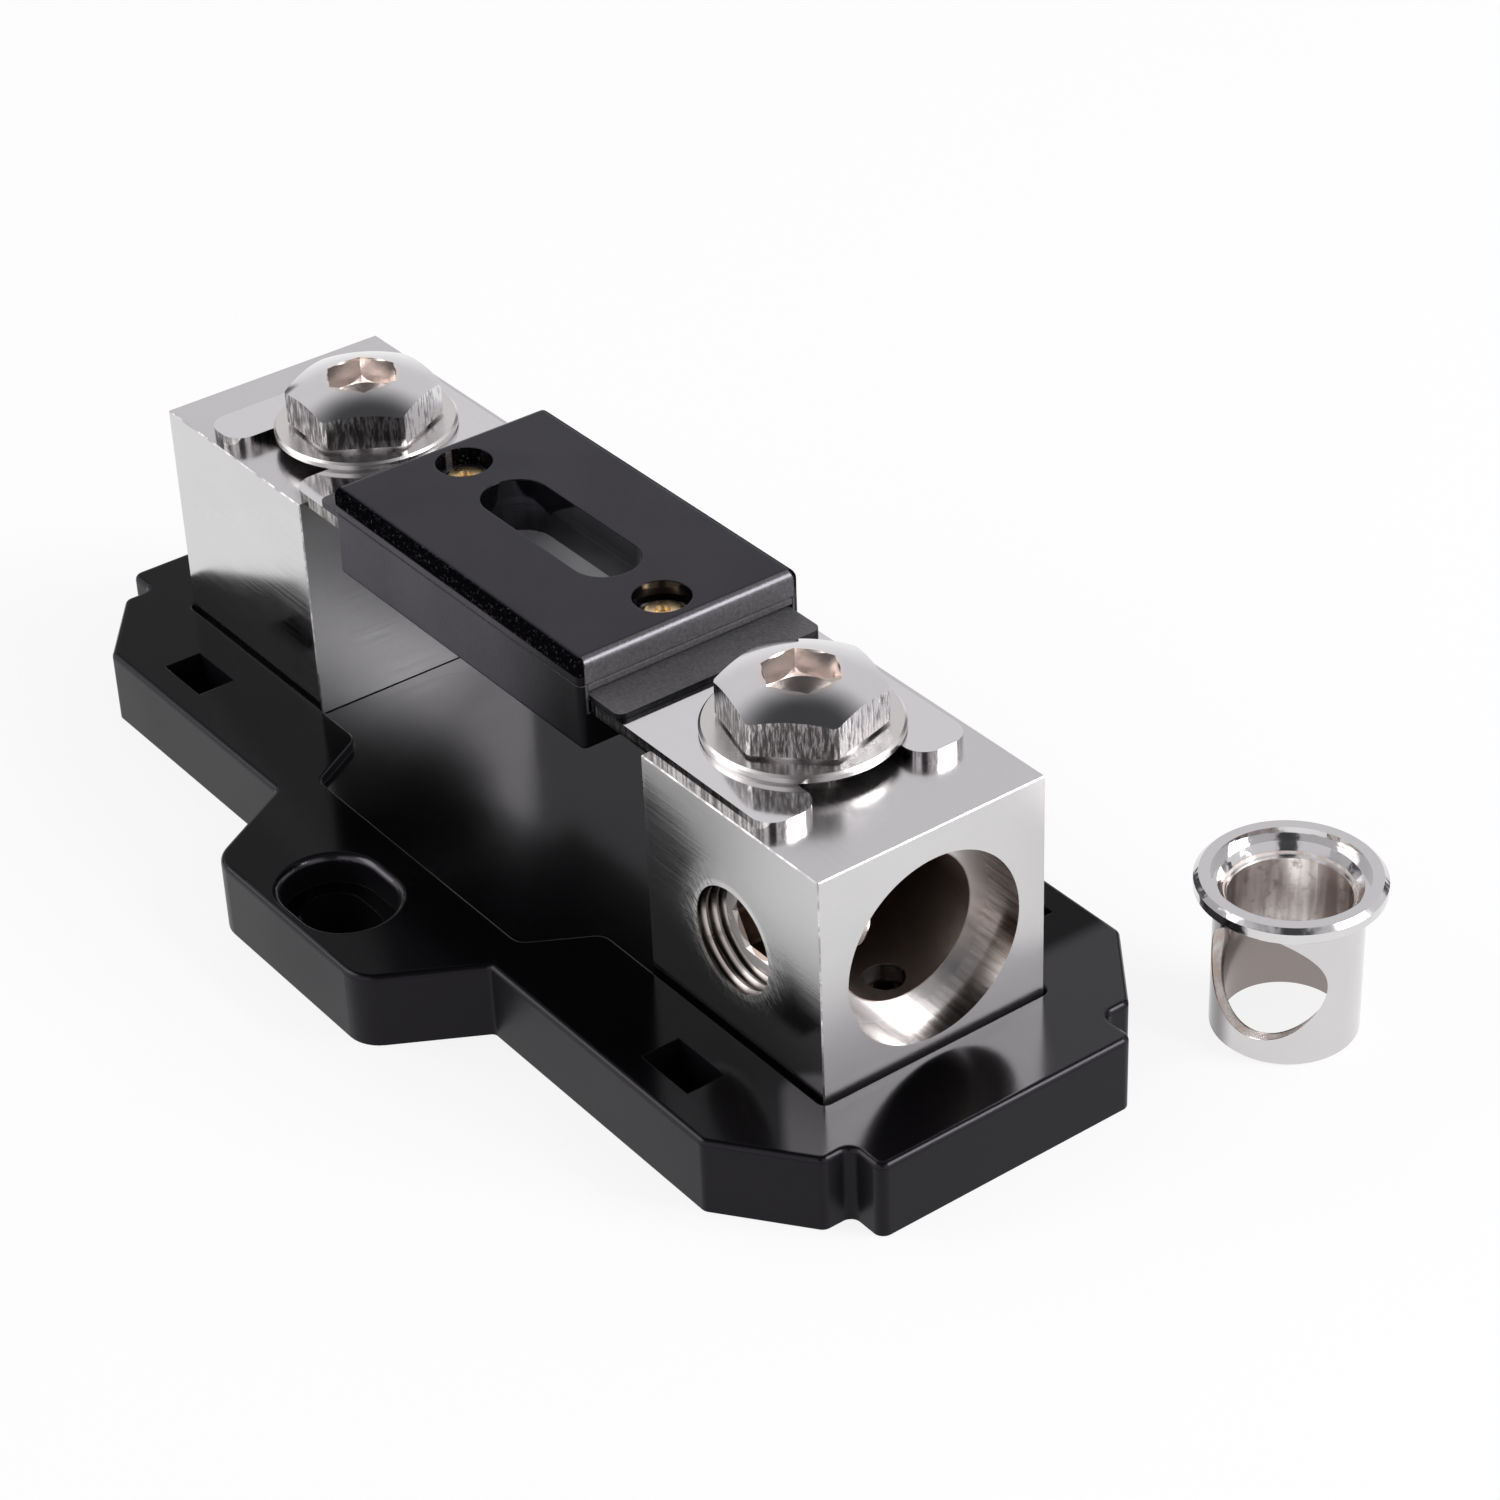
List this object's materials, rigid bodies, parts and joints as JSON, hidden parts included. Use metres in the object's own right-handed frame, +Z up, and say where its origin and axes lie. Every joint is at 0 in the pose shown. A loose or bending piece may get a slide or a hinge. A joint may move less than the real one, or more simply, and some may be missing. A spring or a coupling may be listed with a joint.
{
  "type": "anl fuse holder",
  "caption": "Inline holder for a bolt-down strip fuse: moulded base with side mounting ears, square metal clamp blocks and a loose reducer sleeve.",
  "frame": {"origin": "middle of the base's underside", "axes": "+X along the holder towards the near cable entry, +Y across it towards the side where the sleeve stands, +Z up out of the base"},
  "size_m": [0.1193, 0.0673, 0.0337],
  "materials": {
    "base_plastic": "fine satin grain",
    "fuse_plastic": "fine grain with smoother top",
    "block_nickel": "satin nickel plate",
    "bright_nickel": "bright nickel plate",
    "strip_plate": "mirror-bright plate",
    "screw_steel": "plated steel",
    "brass": "plain turned brass",
    "lens": "clear grey, slightly milky"
  },
  "bodies": {
    "holder": {"base": "base_plastic", "near_terminal_block": "block_nickel", "far_terminal_block": "block_nickel", "near_base_screw": "screw_steel", "far_base_screw": "screw_steel", "fuse_element": "strip_plate", "fuse_housing": "fuse_plastic", "fuse_cover": "fuse_plastic", "fuse_window": "lens", "near_fuse_screw": "brass", "far_fuse_screw": "brass", "reducer_sleeve": "bright_nickel"},
    "near_washer": {"near_clamp_washer": "bright_nickel"},
    "near_bolt": {"near_clamp_bolt": "bright_nickel"},
    "far_washer": {"far_clamp_washer": "bright_nickel"},
    "far_bolt": {"far_clamp_bolt": "bright_nickel"},
    "near_side_screw": {"near_set_screw": "screw_steel"},
    "far_side_screw": {"far_set_screw": "screw_steel"}
  },
  "joints": [
    {"name": "near_bolt_lift", "type": "slide", "parent": "holder", "child": "near_washer", "axis": [0, 0, 1], "range_m": [0, 0.0045]},
    {"name": "near_bolt_turn", "type": "hinge", "parent": "near_washer", "child": "near_bolt", "pos_m": [0.0313, 0, 0.0293], "axis": [0, 0, 1], "range_deg": [0, 1260]},
    {"name": "far_bolt_lift", "type": "slide", "parent": "holder", "child": "far_washer", "axis": [0, 0, 1], "range_m": [0, 0.0045]},
    {"name": "far_bolt_turn", "type": "hinge", "parent": "far_washer", "child": "far_bolt", "pos_m": [-0.0313, 0, 0.0293], "axis": [0, 0, 1], "range_deg": [0, 1260]},
    {"name": "near_side_screw_travel", "type": "slide", "parent": "holder", "child": "near_side_screw", "axis": [0, -1, 0], "range_m": [-0.0015, 0.006]},
    {"name": "far_side_screw_travel", "type": "slide", "parent": "holder", "child": "far_side_screw", "axis": [0, 1, 0], "range_m": [-0.0015, 0.006]}
  ],
  "couplings": [
    {"joint": "near_bolt_lift", "follows": "near_bolt_turn", "m_per_rad": 0.00019894},
    {"joint": "far_bolt_lift", "follows": "far_bolt_turn", "m_per_rad": 0.00019894}
  ]
}
